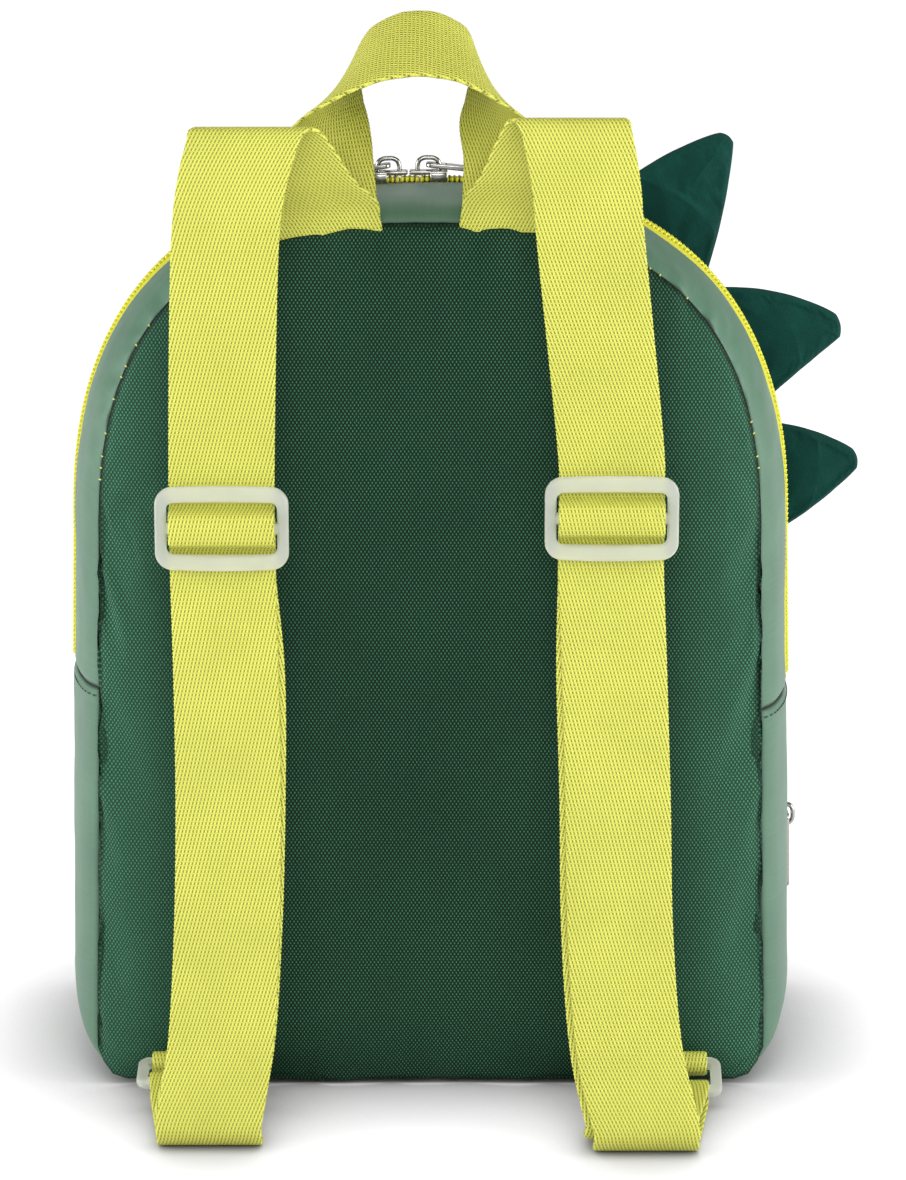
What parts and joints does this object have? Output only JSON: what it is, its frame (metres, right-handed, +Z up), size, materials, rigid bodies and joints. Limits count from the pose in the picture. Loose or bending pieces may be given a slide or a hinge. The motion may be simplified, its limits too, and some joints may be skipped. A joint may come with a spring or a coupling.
{
  "type": "child's backpack",
  "caption": "Small arch-topped child's backpack with padded back, webbing shoulder straps, grab handle, zipped front pocket and stuffed spikes down one side.",
  "frame": {"origin": "middle of the main compartment's underside, on the surface that the bag stands on", "axes": "+Z up; -Y towards the wearer's back and the straps; +X towards the side with the spikes"},
  "size_m": [0.249, 0.1635, 0.327],
  "materials": {
    "dark_green_weave": "coarse plain weave, dark green with pale flecks",
    "sage_cloth": "smooth close weave",
    "lime_webbing": "ribbed woven webbing with thick selvedges",
    "lime_zipper": "woven tape and coil",
    "teal_cloth": "matt soft cloth",
    "frosted_plastic": "frosted, slightly see-through",
    "bright_metal": "polished"
  },
  "bodies": {
    "bag": {"back_panel": "dark_green_weave", "gusset_back": "sage_cloth", "gusset_front": "sage_cloth", "gusset_base": "sage_cloth", "front_panel": "sage_cloth", "zipper_main": "lime_zipper", "pocket_face": "sage_cloth", "pocket_gusset_back": "sage_cloth", "pocket_gusset_front": "sage_cloth", "pocket_gusset_base": "sage_cloth", "zipper_pocket": "lime_zipper", "spike_top": "teal_cloth", "spike_middle": "teal_cloth", "spike_low": "teal_cloth", "grab_handle": "lime_webbing", "strap_left": "lime_webbing", "adjuster_left": "frosted_plastic", "ring_left": "frosted_plastic", "ring_tab_left": "lime_webbing", "strap_right": "lime_webbing", "adjuster_right": "frosted_plastic", "ring_right": "frosted_plastic", "ring_tab_right": "lime_webbing", "slider_left": "bright_metal", "slider_right": "bright_metal", "slider_pocket": "bright_metal"},
    "left_pull": {"pull_left": "bright_metal"},
    "right_pull": {"pull_right": "bright_metal"},
    "pocket_pull": {"pull_pocket": "bright_metal"}
  },
  "joints": [
    {"name": "left_pull_hinge", "type": "hinge", "parent": "bag", "child": "left_pull", "pos_m": [-0.01265, -0.00269, 0.27791], "axis": [0.0016, 0.9993, -0.038], "range_deg": [0, 95]},
    {"name": "right_pull_hinge", "type": "hinge", "parent": "bag", "child": "right_pull", "pos_m": [-0.0005, -0.00269, 0.27817], "axis": [0, -0.9993, 0.0377], "range_deg": [0, 95]},
    {"name": "pocket_pull_hinge", "type": "hinge", "parent": "bag", "child": "pocket_pull", "pos_m": [0.11508, 0.04199, 0.06006], "axis": [0.0252, -0.9997, 0.0004], "range_deg": [0, 165]}
  ]
}
